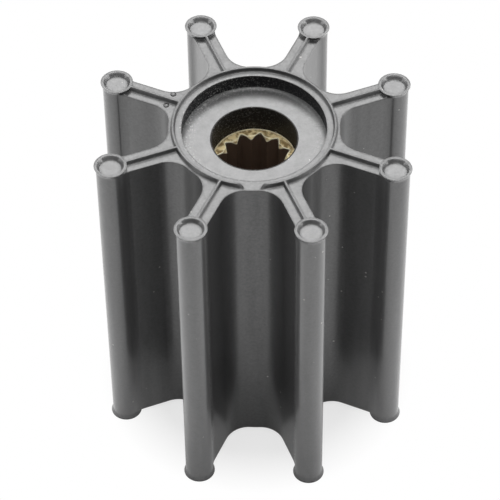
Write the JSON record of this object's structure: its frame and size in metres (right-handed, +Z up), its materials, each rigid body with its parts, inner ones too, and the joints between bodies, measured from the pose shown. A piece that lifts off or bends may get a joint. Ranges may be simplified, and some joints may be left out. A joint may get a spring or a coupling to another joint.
{
  "type": "pump impeller",
  "caption": "Flexible rubber pump impeller with straight round-tipped vanes, sealing lips on both ends and a splined brass insert in its hub.",
  "frame": {"origin": "centre of the lower end, on the surface the impeller stands on", "axes": "+Z up along the bore; -Y at the open notch of the hub's lip; vanes at 22.5 degrees from +X and every 45 degrees on"},
  "size_m": [0.0602, 0.0602, 0.074],
  "materials": {
    "rubber": "satin",
    "brass": "machined"
  },
  "bodies": {
    "root": {"rubber_impeller": "rubber", "spline_insert": "brass"}
  },
  "joints": []
}
